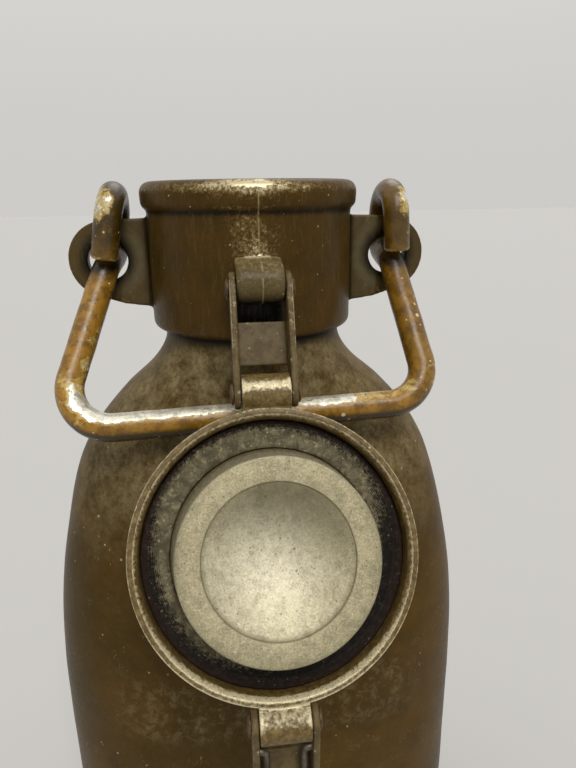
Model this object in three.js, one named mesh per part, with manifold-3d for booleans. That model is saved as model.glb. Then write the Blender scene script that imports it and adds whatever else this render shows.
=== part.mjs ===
// An old painted aluminium drinking-water canteen with its hinged lid hanging open.
// Millimetres, +Z up. The origin is the centre of the flat base, the front faces -Y,
// and the neck stands on the Z axis.
import * as THREE from 'three';
import { mergeVertices } from 'three/addons/utils/BufferGeometryUtils.js';
import Module from 'manifold-3d';

const wasm = await Module();
wasm.setup();

// ---------------------------------------------------------------- driving dimensions
const GAP = 0.3; // running and seam clearance between touching pieces
const AROUND = 48; // facets around the body and the neck
const SMALL_AROUND = 16; // facets around a pin or a small hole

// body
const BODY_HALF_WIDTH = 98;
const BODY_HALF_DEPTH = 62;
const BODY_WALL = 1.6;
const BODY_SQUARENESS = 2.6; // superellipse power of the body's plan, 2 is a plain oval
const BASE_CORNER = 12;
const SEAM_Z = 24; // lap seam between the drawn body and the base pan
const SEAM_LAP = 8;
const SHOULDER_FOOT_Z = 132; // the sides are straight below this height
const NECK_FOOT_Z = 295; // the shoulder has closed to the round neck here
const NECK_TOP_Z = 312;
const NECK_R = 38.3;

// cast neck collar
const COLLAR_R = 43.5;
const COLLAR_FOOT_Z = 297;
const COLLAR_CORNER = 5;
const MOUTH_R = 37.3;
const BEAD_R = 46;
const BEAD_FOOT_Z = 346;
const RIM_Z = 357.5; // top of the mouth bead
const EYE_X = 61; // side eyes that carry the bail
const EYE_Z = 326;
const EYE_HOLE_R = 8.9;
const EYE_R = 16.3;
const EYE_THICKNESS = 7;
const ARM_TOP_Z = 343;
const ARM_FOOT_Z = 305;
const CATCH_WIDTH = 9;

// hinge and latch, all pins lie along X
const KNUCKLE_WIDTH = 17.6;
const KNUCKLE_R = 7.5;
const NECK_BARREL_RISE = 2; // the neck's knuckle stands this much above its pin
const PIN_R = 2.5;
const PIN_HEAD_R = 4;
const PIN_HEAD = 1.3;
const PLATE = 2.4;
const PLATE_INNER = 9.1; // half the space between the side plates of the link and the lever
const PLATE_END_R = 6.4;
const LINK_FOOT_R = 5.6; // the link narrows towards the lid, to pass its rim when shut
const NECK_PIN = { y: -49.8, z: 318.7 };
const LINK_LENGTH = 38.6;
const LINK_REST = THREE.MathUtils.degToRad(22.4); // from straight down towards the front
const WEB = 2;

// lid, drawn closed about its own centre with the skirt's edge at height 0
const LID_R = 51;
const LID_CAVITY_R = 47.2;
const LID_LIP_R = 47.6; // the cavity's mouth
const LID_PIN_OUT = 56.8; // from the lid's centre to each pin
const LID_PIN_UP = 4.5;
const LID_REST = THREE.MathUtils.degToRad(23.4);
const GASKET = 3.6;
const PLUG_FACE = -13.5; // the plug reaches this far below the skirt
const PLUG_FACE_R = 34.2;
const PLUG_ROOT_R = 36.6;
const PLUG_DISH_R = 25.6;
const PLUG_DISH_DEPTH = 7;
const PLUG_WALL = 4;

// latch
const LEVER_LENGTH = 44;
const STIRRUP_DROP = 12; // from the lever's pin to the wire's pivot
const WIRE_R = 1.5;
const STIRRUP_HALF_WIDTH = 6.9;
const WIRE_SEAT = { y: 46.1, z: 316.5 }; // where the closed wire lies under the catch nose

// bail, whose two ends differ because the old rod is bent a little out of true
const ROD_R = 5.6;
const BAIL_CORNER_R = 17;
const LOOP_HALF_DEPTH = 10.8;
const LOOP_TOP_Z = 352.3;
const LOOP_TIP_Z = 331.2;
const BAIL_BAR_Y = -46.3;
const BAIL_LEFT = { tip: -61.2, top: -56.6, back: -59.4, front: -61.6, corner: -80.6, z: 265.2 };
const BAIL_RIGHT = { tip: 63.2, top: 61.9, back: 61.6, front: 62.2, corner: 69.8, z: 270.2 };

// The hinge link's length sets how high the closed lid sits, and so the gasket's depth.
const CLOSED_PIN_Z = NECK_PIN.z + Math.sqrt(LINK_LENGTH ** 2 - (LID_PIN_OUT + NECK_PIN.y) ** 2);
const GASKET_UNDER = RIM_Z + GAP - (CLOSED_PIN_Z - LID_PIN_UP);
const LID_FLOOR = GASKET_UNDER + GASKET + GAP;
const LID_TOP = LID_FLOOR + 4;
const STIRRUP_LENGTH = Math.hypot(
  LID_PIN_OUT - WIRE_SEAT.y, CLOSED_PIN_Z - STIRRUP_DROP - WIRE_SEAT.z);

// ---------------------------------------------------------------- materials
const paint = (color, roughness) =>
  new THREE.MeshStandardMaterial({ color, roughness, metalness: 0.1 });
const metal = (color, roughness) =>
  new THREE.MeshStandardMaterial({ color, roughness, metalness: 0.9 });
const BODY_PAINT = paint(0x5c4c28, 0.45);
const CAST_PAINT = paint(0x5e4f30, 0.5);
const BAIL_PAINT = paint(0x8c6a2d, 0.4);
const LID_METAL = metal(0x9a9070, 0.45);
const LINK_STEEL = metal(0x6a5f4c, 0.6);
const PIN_STEEL = metal(0x6b4f3a, 0.7);
const WIRE_STEEL = metal(0x77736a, 0.5);
const RUBBER = new THREE.MeshStandardMaterial({ color: 0x1d1614, roughness: 0.85 });

// ---------------------------------------------------------------- solids
function signedVolume(position, index) {
  const [a, b, c] = [new THREE.Vector3(), new THREE.Vector3(), new THREE.Vector3()];
  let sum = 0;
  for (let i = 0; i < index.length; i += 3) {
    a.fromArray(position, 3 * index[i]);
    b.fromArray(position, 3 * index[i + 1]);
    c.fromArray(position, 3 * index[i + 2]);
    sum += a.dot(b.cross(c));
  }
  return sum / 6;
}

// A closed three.js geometry as a manifold solid with its faces pointing out.
function solid(geometry) {
  const bare = geometry.clone();
  bare.deleteAttribute('normal');
  bare.deleteAttribute('uv');
  const merged = mergeVertices(bare, 1e-4);
  const position = merged.attributes.position.array;
  const index = [];
  for (let i = 0; i < merged.index.count; i += 3) {
    const [a, b, c] = [0, 1, 2].map((k) => merged.index.getX(i + k));
    if (a !== b && b !== c && c !== a) index.push(a, b, c);
  }
  if (signedVolume(position, index) < 0) index.reverse();
  return new wasm.Manifold(new wasm.Mesh({
    numProp: 3,
    vertProperties: new Float32Array(position),
    triVerts: new Uint32Array(index),
  }));
}

function named(name, body, material) {
  const { vertProperties, triVerts } = body.getMesh();
  const geometry = new THREE.BufferGeometry();
  geometry.setAttribute('position', new THREE.BufferAttribute(vertProperties, 3));
  geometry.setIndex(new THREE.BufferAttribute(triVerts, 1));
  geometry.computeVertexNormals();
  const mesh = new THREE.Mesh(geometry, material);
  mesh.name = name;
  return mesh;
}

// A solid of revolution about Z from [radius, height] points.
function turned(points, around = AROUND) {
  const profile = points.map(([r, z]) => new THREE.Vector2(r, z));
  return solid(new THREE.LatheGeometry(profile, around).rotateX(Math.PI / 2));
}

// Points of a circular arc in [radius, height], from one angle to another in degrees.
function arc(r, z, radius, from, to, steps = 5) {
  return Array.from({ length: steps + 1 }, (_, i) => {
    const a = THREE.MathUtils.degToRad(from + ((to - from) * i) / steps);
    return [r + radius * Math.cos(a), z + radius * Math.sin(a)];
  });
}

// A side-view outline in (y, z), as thick as the X range.
function acrossX(shape, x0, x1, curveSegments = 8) {
  const plate = new THREE.ExtrudeGeometry(shape, {
    depth: x1 - x0, bevelEnabled: false, curveSegments,
  });
  const toYZ = new THREE.Matrix4().makeBasis(
    new THREE.Vector3(0, 1, 0), new THREE.Vector3(0, 0, 1), new THREE.Vector3(1, 0, 0));
  return solid(plate.applyMatrix4(toYZ).translate(x0, 0, 0));
}

// A front-view outline in (x, z), centred on Y = 0.
function acrossY(shape, thickness, curveSegments = 12) {
  const plate = new THREE.ExtrudeGeometry(shape, {
    depth: thickness, bevelEnabled: false, curveSegments,
  });
  return solid(plate.rotateX(Math.PI / 2).translate(0, thickness / 2, 0));
}

function rodAlongX(y, z, radius, x0, x1, around = SMALL_AROUND) {
  const rod = new THREE.CylinderGeometry(radius, radius, x1 - x0, around);
  return solid(rod.rotateZ(Math.PI / 2).translate((x0 + x1) / 2, y, z));
}

function box(x0, x1, y0, y1, z0, z1) {
  const block = new THREE.BoxGeometry(x1 - x0, y1 - y0, z1 - z0);
  return solid(block.translate((x0 + x1) / 2, (y0 + y1) / 2, (z0 + z1) / 2));
}

function circle(x, y, radius) {
  return new THREE.Shape().absarc(x, y, radius, 0, 2 * Math.PI, false);
}

function polygon(points) {
  return new THREE.Shape(points.map(([x, y]) => new THREE.Vector2(x, y)));
}

// A closed polyline of straight runs joined by round bends, as one curve.
function bentPath(points, radii) {
  const path = new THREE.CurvePath();
  let start = points[0];
  for (let i = 1; i < points.length - 1; i += 1) {
    const corner = points[i];
    const inward = points[i - 1].clone().sub(corner).normalize();
    const outward = points[i + 1].clone().sub(corner).normalize();
    const turn = Math.PI - inward.angleTo(outward);
    const reach = radii[i - 1] * Math.tan(turn / 2);
    const handle = reach - (radii[i - 1] * 4 * Math.tan(turn / 4)) / 3;
    const bendStart = corner.clone().addScaledVector(inward, reach);
    const bendEnd = corner.clone().addScaledVector(outward, reach);
    path.add(new THREE.LineCurve3(start, bendStart));
    path.add(new THREE.CubicBezierCurve3(
      bendStart, corner.clone().addScaledVector(inward, handle),
      corner.clone().addScaledVector(outward, handle), bendEnd));
    start = bendEnd;
  }
  path.add(new THREE.LineCurve3(start, points[points.length - 1]));
  return path;
}

function rodAlong(path, radius, stepLength, sides) {
  const steps = Math.round(path.getLength() / stepLength);
  return solid(new THREE.ExtrudeGeometry(circle(0, 0, radius), {
    steps, extrudePath: path, curveSegments: sides, bevelEnabled: false,
  }));
}

// ---------------------------------------------------------------- body
const WIDTH_CURVE = new THREE.SplineCurve([
  [NECK_R, NECK_TOP_Z], [NECK_R, NECK_FOOT_Z], [40.6, 288], [46.8, 280], [59, 269.5],
  [72.5, 254], [82.8, 235], [90.6, 205], [95.9, 171], [BODY_HALF_WIDTH, SHOULDER_FOOT_Z],
].map(([r, z]) => new THREE.Vector2(r, z)));
const DEPTH_CURVE = new THREE.SplineCurve([
  [NECK_R, NECK_TOP_Z], [NECK_R, NECK_FOOT_Z], [38.5, 284], [39.6, 270], [43.5, 254],
  [48.5, 235], [55.5, 205], [60, 171], [BODY_HALF_DEPTH, SHOULDER_FOOT_Z],
].map(([r, z]) => new THREE.Vector2(r, z)));
const CURVE_STEPS = 240;
const widthSamples = WIDTH_CURVE.getPoints(CURVE_STEPS);
const depthSamples = DEPTH_CURVE.getPoints(CURVE_STEPS);

// Half-size of the body at a height, read off a shoulder curve that runs downwards.
function halfSize(samples, z) {
  if (z <= SHOULDER_FOOT_Z) return samples[samples.length - 1].x;
  const i = Math.max(1, samples.findIndex((p) => p.y <= z));
  const [upper, lower] = [samples[i - 1], samples[i]];
  return THREE.MathUtils.mapLinear(z, upper.y, lower.y, upper.x, lower.x);
}

function bodySize(z) {
  const blend = THREE.MathUtils.smoothstep(NECK_FOOT_Z - z, 0, NECK_FOOT_Z - SHOULDER_FOOT_Z);
  return {
    a: halfSize(widthSamples, z),
    b: halfSize(depthSamples, z),
    power: 2 + (BODY_SQUARENESS - 2) * blend,
  };
}

// An oval solid that follows the body's plan. Rows are [inset, z]: inset is measured in from
// the body's surface. A null inset is a point on the axis.
function oval(rows) {
  const profile = rows.map(([inset, z], i) =>
    new THREE.Vector2(inset === null ? 0 : 1, i));
  const geometry = new THREE.LatheGeometry(profile, AROUND);
  const position = geometry.attributes.position;
  for (let i = 0; i < position.count; i += 1) {
    const [x, row, y] = [position.getX(i), Math.round(position.getY(i)), position.getZ(i)];
    const [inset, z] = rows[row];
    const angle = Math.atan2(y, x);
    const { a, b, power } = bodySize(z);
    const squash = (value) => Math.sign(value) * Math.abs(value) ** (2 / power);
    const round = inset === null ? 0 : 1;
    position.setXYZ(i, round * (a - inset) * squash(Math.cos(angle)),
      round * (b - inset) * squash(Math.sin(angle)), z);
  }
  return solid(geometry);
}

const SHELL_ROWS = [SEAM_Z, 78, SHOULDER_FOOT_Z, 150, 168, 186, 204, 220, 234, 246, 257,
  266, 273, 279, 284.5, 290, NECK_FOOT_Z, NECK_TOP_Z];

function bodyShell() {
  const wall = (inset, rows) => [
    [null, rows[0]], ...rows.map((z) => [inset, z]), [null, rows[rows.length - 1]]];
  const inner = [SEAM_Z - 2, ...SHELL_ROWS.slice(1, -1), NECK_TOP_Z + 2];
  return oval(wall(0, SHELL_ROWS)).subtract(oval(wall(BODY_WALL, inner)));
}

function basePan() {
  const corner = arc(0, 0, BASE_CORNER, 270, 360)
    .map(([r, z]) => [BASE_CORNER - r, BASE_CORNER + z]);
  const lip = BODY_WALL + GAP;
  const outer = oval([[null, 0], ...corner, [0, SEAM_Z - GAP], [lip, SEAM_Z - GAP],
    [lip, SEAM_Z + SEAM_LAP], [null, SEAM_Z + SEAM_LAP]]);
  const insideLip = lip + BODY_WALL;
  const inner = oval([[null, BODY_WALL], [BASE_CORNER, BODY_WALL],
    [insideLip, BASE_CORNER], [insideLip, SEAM_Z + SEAM_LAP + 2],
    [null, SEAM_Z + SEAM_LAP + 2]]);
  return outer.subtract(inner);
}

// ---------------------------------------------------------------- neck collar
function neckCollar() {
  const bead = (RIM_Z - BEAD_FOOT_Z) / 2;
  const ring = turned([
    [0, COLLAR_FOOT_Z],
    ...arc(COLLAR_R - COLLAR_CORNER, COLLAR_FOOT_Z + COLLAR_CORNER, COLLAR_CORNER, 270, 360),
    [COLLAR_R, BEAD_FOOT_Z - 2],
    [COLLAR_R + 0.6, BEAD_FOOT_Z],
    ...arc(BEAD_R - bead + 1.5, RIM_Z - bead, bead, -60, 90, 8).map(([r, z]) =>
      [Math.min(r, BEAD_R), z]),
    [0, RIM_Z],
  ]);
  const arm = new THREE.Shape()
    .moveTo(-COLLAR_R, ARM_FOOT_Z)
    .lineTo(COLLAR_R, ARM_FOOT_Z)
    .lineTo(EYE_X - 6, ARM_FOOT_Z + 2)
    .absarc(EYE_X, EYE_Z, EYE_R, -0.4 * Math.PI, 0.5 * Math.PI, false)
    .lineTo(COLLAR_R, ARM_TOP_Z)
    .lineTo(-COLLAR_R, ARM_TOP_Z)
    .absarc(-EYE_X, EYE_Z, EYE_R, 0.5 * Math.PI, 1.4 * Math.PI, false)
    .lineTo(-EYE_X + 6, ARM_FOOT_Z + 2);
  for (const side of [-1, 1]) {
    arm.holes.push(new THREE.Path().absarc(side * EYE_X, EYE_Z, EYE_HOLE_R, 0, 2 * Math.PI, true));
  }
  const { y, z } = NECK_PIN;
  const barrelZ = z + NECK_BARREL_RISE;
  const knuckle = new THREE.Shape()
    .moveTo(-COLLAR_R + 3, barrelZ - KNUCKLE_R)
    .lineTo(-COLLAR_R + 3, barrelZ + KNUCKLE_R)
    .absarc(y, barrelZ, KNUCKLE_R, Math.PI / 2, 1.5 * Math.PI, false);
  const seat = WIRE_SEAT;
  const catchNose = polygon([
    [COLLAR_R - 3, seat.z + 2.1], [seat.y, seat.z + 2.1], [seat.y + 2, seat.z + 0.9],
    [seat.y + 2.3, seat.z - 2], [seat.y + 5.3, seat.z - 2], [seat.y + 5.3, seat.z + 4.5],
    [seat.y, seat.z + 12], [COLLAR_R - 3, seat.z + 12],
  ]);
  const half = KNUCKLE_WIDTH / 2;
  const bore = turned([[0, COLLAR_FOOT_Z - 1], [MOUTH_R, COLLAR_FOOT_Z - 1],
    [MOUTH_R, RIM_Z - 2], [MOUTH_R + 2, RIM_Z + 1], [0, RIM_Z + 1]]);
  const neckSeat = turned([[0, COLLAR_FOOT_Z - 1], [NECK_R + GAP, COLLAR_FOOT_Z - 1],
    [NECK_R + GAP, NECK_TOP_Z + GAP], [0, NECK_TOP_Z + GAP]]);
  return ring
    .add(acrossY(arm, EYE_THICKNESS))
    .add(acrossX(knuckle, -half, half))
    .add(acrossX(catchNose, -CATCH_WIDTH / 2, CATCH_WIDTH / 2))
    .subtract(bore)
    .subtract(neckSeat)
    .subtract(rodAlongX(y, z, PIN_R + GAP, -half - 1, half + 1));
}

// ---------------------------------------------------------------- hinge
// Side plates and a web between them, drawn hanging straight down from a pin at the origin.
// The web lies on the +Y side.
function channel(length, endRadius, webFrom, webTo, webAt) {
  const side = new THREE.Shape()
    .moveTo(PLATE_END_R, 0)
    .absarc(0, 0, PLATE_END_R, 0, Math.PI, false)
    .lineTo(-endRadius, -length)
    .absarc(0, -length, endRadius, Math.PI, 2 * Math.PI, false);
  const outer = PLATE_INNER + PLATE;
  return acrossX(side, PLATE_INNER, outer)
    .add(acrossX(side, -outer, -PLATE_INNER))
    .add(box(-PLATE_INNER - 1, PLATE_INNER + 1, webAt - WEB, webAt, -webTo, -webFrom));
}

function hingeLink() {
  return channel(LINK_LENGTH, LINK_FOOT_R, 11.5, 28, PLATE_END_R)
    .subtract(rodAlongX(0, 0, PIN_R + GAP, -20, 20))
    .subtract(rodAlongX(0, -LINK_LENGTH, PIN_R + GAP, -20, 20));
}

function rivetedPin(y, z) {
  const inside = PLATE_INNER + PLATE + GAP;
  const outside = inside + PIN_HEAD;
  const shank = rodAlongX(y, z, PIN_R, -outside, outside);
  return shank
    .add(rodAlongX(y, z, PIN_HEAD_R, inside, outside))
    .add(rodAlongX(y, z, PIN_HEAD_R, -outside, -inside));
}

// ---------------------------------------------------------------- lid
// Drawn closed with its centre on Z and the skirt's edge at height 0.
function lidCap() {
  const sphere = (PLUG_DISH_R ** 2 + PLUG_DISH_DEPTH ** 2) / (2 * PLUG_DISH_DEPTH);
  const dish = (radius, drop) => Array.from({ length: 6 }, (_, i) => {
    const r = (radius * i) / 5;
    const rise = PLUG_DISH_DEPTH - sphere + Math.sqrt(sphere ** 2 - r ** 2);
    return [r, PLUG_FACE + rise + drop];
  });
  const disc = turned([
    ...dish(PLUG_DISH_R, 0),
    [PLUG_FACE_R - 1, PLUG_FACE],
    [PLUG_FACE_R, PLUG_FACE + 1],
    [PLUG_ROOT_R, GASKET_UNDER],
    [PLUG_ROOT_R, LID_FLOOR],
    [LID_CAVITY_R, LID_FLOOR],
    [LID_CAVITY_R, GASKET_UNDER - 1],
    [LID_LIP_R, 0.6],
    [LID_LIP_R + 0.5, 0],
    [LID_R - 0.8, 0],
    [LID_R, 0.8],
    ...arc(LID_R - 6, LID_TOP - 6, 6, 0, 90),
    [PLUG_ROOT_R - PLUG_WALL + 1, LID_TOP],
    [PLUG_ROOT_R - PLUG_WALL, LID_TOP - 1],
    [PLUG_FACE_R - PLUG_WALL, PLUG_FACE + PLUG_WALL + 1],
    ...dish(PLUG_DISH_R, PLUG_WALL).reverse(),
  ]);
  const half = KNUCKLE_WIDTH / 2;
  const knuckle = (side) => {
    const out = side * LID_PIN_OUT;
    const root = side * (LID_R - 3);
    const [from, to] = side < 0 ? [Math.PI / 2, 1.5 * Math.PI] : [-Math.PI / 2, Math.PI / 2];
    const outline = new THREE.Shape();
    if (side < 0) {
      outline.moveTo(root, LID_PIN_UP - KNUCKLE_R + 1).lineTo(root, LID_PIN_UP + KNUCKLE_R);
    } else {
      outline.moveTo(root, LID_PIN_UP + KNUCKLE_R).lineTo(root, LID_PIN_UP - KNUCKLE_R + 1);
    }
    outline.absarc(out, LID_PIN_UP, KNUCKLE_R - 0.5, from, to, false);
    return acrossX(outline, -half, half)
      .subtract(rodAlongX(out, LID_PIN_UP, PIN_R + GAP, -half - 1, half + 1));
  };
  const cavity = turned([[0, -3], [LID_LIP_R, -3], [LID_LIP_R, LID_FLOOR - 1],
    [0, LID_FLOOR - 1]]);
  return disc.add(knuckle(-1).subtract(cavity)).add(knuckle(1).subtract(cavity));
}

function lidGasket() {
  const [inner, outer] = [PLUG_ROOT_R + GAP, LID_CAVITY_R - GAP];
  const top = LID_FLOOR - GAP;
  return turned([[inner, GASKET_UNDER + 0.6], [inner + 0.8, GASKET_UNDER],
    [outer - 0.8, GASKET_UNDER], [outer, GASKET_UNDER + 0.6], [outer, top], [inner, top],
    [inner, GASKET_UNDER + 0.6]]);
}

// ---------------------------------------------------------------- latch
function latchLever() {
  const tab = polygon([[PLATE_END_R, -30], [PLATE_END_R, -LEVER_LENGTH - 2],
    [PLATE_END_R + 5, -LEVER_LENGTH - 8], [PLATE_END_R + 3.5, -LEVER_LENGTH - 9],
    [PLATE_END_R - WEB, -LEVER_LENGTH - 2], [PLATE_END_R - WEB, -30]]);
  return channel(LEVER_LENGTH, PLATE_END_R - 2, 17, LEVER_LENGTH, PLATE_END_R)
    .add(acrossX(tab, -PLATE_INNER, PLATE_INNER))
    .subtract(rodAlongX(0, 0, PIN_R + GAP, -20, 20))
    .subtract(rodAlongX(0, -STIRRUP_DROP, WIRE_R + GAP, -20, 20, 12));
}

// A wire loop drawn hanging from its pivot at the origin. Its ends turn out into the lever.
function latchStirrup() {
  const [w, end] = [STIRRUP_HALF_WIDTH, PLATE_INNER + PLATE];
  const points = [[-end, 0], [-w, 0], [-w, -STIRRUP_LENGTH], [w, -STIRRUP_LENGTH], [w, 0], [end, 0]]
    .map(([x, z]) => new THREE.Vector3(x, 0, z));
  return rodAlong(bentPath(points, [1.7, 3.5, 3.5, 1.7]), WIRE_R, 1.4, 4);
}

// ---------------------------------------------------------------- bail
function bailHandle() {
  const end = (side) => [
    [side.tip, -LOOP_HALF_DEPTH, LOOP_TIP_Z],
    [side.top, -LOOP_HALF_DEPTH, LOOP_TOP_Z],
    [side.top, LOOP_HALF_DEPTH, LOOP_TOP_Z],
    [side.back, LOOP_HALF_DEPTH, EYE_Z + 1.6],
    [side.front, -6.8, EYE_Z - 3.2],
    [side.corner, BAIL_BAR_Y, side.z],
  ].map((p) => new THREE.Vector3(...p));
  const loopRadii = [LOOP_HALF_DEPTH - 0.1, LOOP_HALF_DEPTH - 0.1, 7.5, 9];
  const path = bentPath([...end(BAIL_LEFT), ...end(BAIL_RIGHT).reverse()],
    [...loopRadii, BAIL_CORNER_R, BAIL_CORNER_R, ...loopRadii.slice().reverse()]);
  return rodAlong(path, ROD_R, 2.8, 5);
}

// ---------------------------------------------------------------- assembly
const canteen = new THREE.Group();
canteen.name = 'canteen';
canteen.add(named('body_shell', bodyShell(), BODY_PAINT));
canteen.add(named('base_pan', basePan(), BODY_PAINT));
canteen.add(named('neck_collar', neckCollar(), CAST_PAINT));
canteen.add(named('bail_handle', bailHandle(), BAIL_PAINT));

// Each swinging group hangs from its pin. Turning it about -X brings "down" to the front.
const linkGroup = new THREE.Group();
linkGroup.position.set(0, NECK_PIN.y, NECK_PIN.z);
linkGroup.rotation.x = -LINK_REST;
linkGroup.add(named('hinge_link', hingeLink(), LINK_STEEL));
linkGroup.add(named('neck_hinge_pin', rivetedPin(0, 0), PIN_STEEL));
linkGroup.add(named('lid_hinge_pin', rivetedPin(0, -LINK_LENGTH), PIN_STEEL));
canteen.add(linkGroup);

// The closed lid points to the back from its front pin, 270 degrees from straight down.
const lidGroup = new THREE.Group();
lidGroup.position.set(0, 0, -LINK_LENGTH);
lidGroup.rotation.x = LINK_REST - LID_REST + THREE.MathUtils.degToRad(270);
const lidCentre = new THREE.Group();
lidCentre.position.set(0, LID_PIN_OUT, -LID_PIN_UP);
lidCentre.add(named('lid_cap', lidCap(), LID_METAL));
lidCentre.add(named('lid_gasket', lidGasket(), RUBBER));
lidGroup.add(lidCentre);
linkGroup.add(lidGroup);

// The lever hangs straight down at rest, whatever the lid's tilt.
const leverGroup = new THREE.Group();
leverGroup.position.set(0, 2 * LID_PIN_OUT, 0);
leverGroup.rotation.x = LID_REST - THREE.MathUtils.degToRad(270);
leverGroup.add(named('latch_lever', latchLever(), LINK_STEEL));
leverGroup.add(named('latch_pin', rivetedPin(0, 0), PIN_STEEL));
const stirrup = named('latch_stirrup', latchStirrup(), WIRE_STEEL);
stirrup.position.set(0, 0, -STIRRUP_DROP);
leverGroup.add(stirrup);
lidGroup.add(leverGroup);

canteen.updateMatrixWorld(true);
export default canteen;
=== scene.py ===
import math

import bmesh
import bpy
import numpy as np
from mathutils import Matrix, Vector


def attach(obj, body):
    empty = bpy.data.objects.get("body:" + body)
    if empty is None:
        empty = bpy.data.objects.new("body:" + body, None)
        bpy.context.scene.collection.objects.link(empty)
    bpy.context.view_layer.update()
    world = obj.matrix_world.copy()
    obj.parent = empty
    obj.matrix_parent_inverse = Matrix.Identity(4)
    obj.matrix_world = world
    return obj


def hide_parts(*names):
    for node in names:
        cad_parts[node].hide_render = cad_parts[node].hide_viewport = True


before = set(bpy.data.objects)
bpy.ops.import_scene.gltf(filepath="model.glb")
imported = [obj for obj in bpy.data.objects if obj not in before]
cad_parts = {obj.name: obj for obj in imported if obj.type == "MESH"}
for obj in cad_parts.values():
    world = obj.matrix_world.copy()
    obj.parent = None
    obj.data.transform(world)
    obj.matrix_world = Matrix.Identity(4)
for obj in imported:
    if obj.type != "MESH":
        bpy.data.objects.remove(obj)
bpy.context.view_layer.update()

MM = 0.001  # the sizes below are in millimetres, as in the CAD source
TURN = 2 * math.pi


# ---------- driving sizes
GAP = 0.3
BODY_HALF_WIDTH, BODY_HALF_DEPTH, BODY_WALL, BODY_SQUARENESS = 98, 62, 1.6, 2.6
BASE_CORNER, SEAM_Z, SEAM_LAP = 12, 24, 8
SHOULDER_FOOT_Z, NECK_FOOT_Z, NECK_TOP_Z, NECK_R = 132, 295, 312, 38.3
COLLAR_R, COLLAR_FOOT_Z, MOUTH_R, BEAD_R, BEAD_FOOT_Z, RIM_Z = 43.5, 297, 37.3, 46, 346, 357.5
EYE_X, EYE_Z, EYE_HOLE_R, EYE_R, EYE_THICKNESS = 61, 326, 8.9, 16.3, 7
ARM_TOP_Z, ARM_FOOT_Z = 343, 305
CATCH_WIDTH, KNUCKLE_WIDTH, KNUCKLE_R, BARREL_RISE = 9, 17.6, 7.5, 2
PIN_R, PIN_HEAD_R, PIN_HEAD, PLATE, PLATE_INNER = 2.5, 4, 1.3, 2.4, 9.1
PLATE_END_R, LINK_FOOT_R = 6.4, 5.6
NECK_PIN_Y, NECK_PIN_Z, LINK_LENGTH, LINK_REST = -49.8, 318.7, 38.6, math.radians(22.4)
LID_R, CAVITY_R, LIP_R, BEVEL_R, LID_PIN_OUT, LID_PIN_UP = 51, 47.2, 47.6, 48.8, 56.8, 4.5
LID_REST, GASKET = math.radians(23.4), 3.6
PLUG_FACE, PLUG_FACE_R, PLUG_ROOT_R, DISH_R, DISH_DEPTH, PLUG_WALL = -13.5, 34.2, 36.6, 25.6, 7, 4
LEVER_LENGTH, STIRRUP_DROP, WIRE_R, STIRRUP_HALF_WIDTH = 44, 12, 1.5, 6.9
WIRE_SEAT_Y, WIRE_SEAT_Z = 46.1, 316.5
ROD_R, BAIL_CORNER_R, LOOP_HALF_DEPTH, LOOP_TOP_Z = 5.6, 17, 10.8, 352.3
BAR_Y = -46.3
BAIL_LEFT = dict(end=327.0, tip=-61.2, top=-56.6, back=-59.4, front=-61.6, corner=-80.6, z=265.2)
BAIL_RIGHT = dict(end=327.8, tip=63.2, top=61.9, back=61.6, front=62.2, corner=69.8, z=270.2)

closed_pin_z = NECK_PIN_Z + math.sqrt(LINK_LENGTH ** 2 - (LID_PIN_OUT + NECK_PIN_Y) ** 2)
GASKET_UNDER = RIM_Z + GAP - (closed_pin_z - LID_PIN_UP)
LID_FLOOR = GASKET_UNDER + GASKET + GAP
LID_TOP = LID_FLOOR + 4
STIRRUP_LENGTH = math.hypot(
    LID_PIN_OUT - WIRE_SEAT_Y, closed_pin_z - STIRRUP_DROP - WIRE_SEAT_Z)
LINK_FOOT_Y = NECK_PIN_Y - LINK_LENGTH * math.sin(LINK_REST)
LINK_FOOT_Z = NECK_PIN_Z - LINK_LENGTH * math.cos(LINK_REST)
LATCH_Y = LINK_FOOT_Y - 2 * LID_PIN_OUT * math.sin(LID_REST)
LATCH_Z = LINK_FOOT_Z - 2 * LID_PIN_OUT * math.cos(LID_REST)


# ---------- node shorthand
RADIUS_SCALE = 60  # the radius, in millimetres, that the stored value 1 stands for


class Nodes:
    """Short names for the arithmetic in a node tree."""

    def __init__(self, tree):
        self.tree = tree

    def node(self, kind):
        return self.tree.nodes.new("ShaderNode" + kind)

    def put(self, socket, value):
        if isinstance(value, bpy.types.NodeSocket):
            self.tree.links.new(value, socket)
        elif isinstance(value, tuple) and len(value) == 3 and len(socket.default_value) == 4:
            socket.default_value = (*value, 1)
        else:
            socket.default_value = value

    def math(self, operation, a, b=0.0):
        node = self.node("Math")
        node.operation = operation
        self.put(node.inputs[0], a)
        self.put(node.inputs[1], b)
        return node.outputs[0]

    def times(self, a, b):
        return self.math("MULTIPLY", a, b)

    def plus(self, a, b):
        return self.math("ADD", a, b)

    def less(self, a, b):
        return self.math("SUBTRACT", a, b)

    def most(self, *values):
        best = values[0]
        for value in values[1:]:
            best = self.math("MAXIMUM", best, value)
        return best

    def cut(self, value, low, high, to_low=0.0, to_high=1.0):
        """A smooth step from low to high, either way round."""
        node = self.node("MapRange")
        node.interpolation_type = "SMOOTHSTEP"
        for socket, number in zip(node.inputs, (value, low, high, to_low, to_high)):
            self.put(socket, number)
        return node.outputs[0]

    def band(self, value, start, full_from, full_to, end):
        """1 from full_from to full_to, fading to 0 at the start and the end."""
        return self.times(self.cut(value, start, full_from), self.cut(value, end, full_to))


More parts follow.
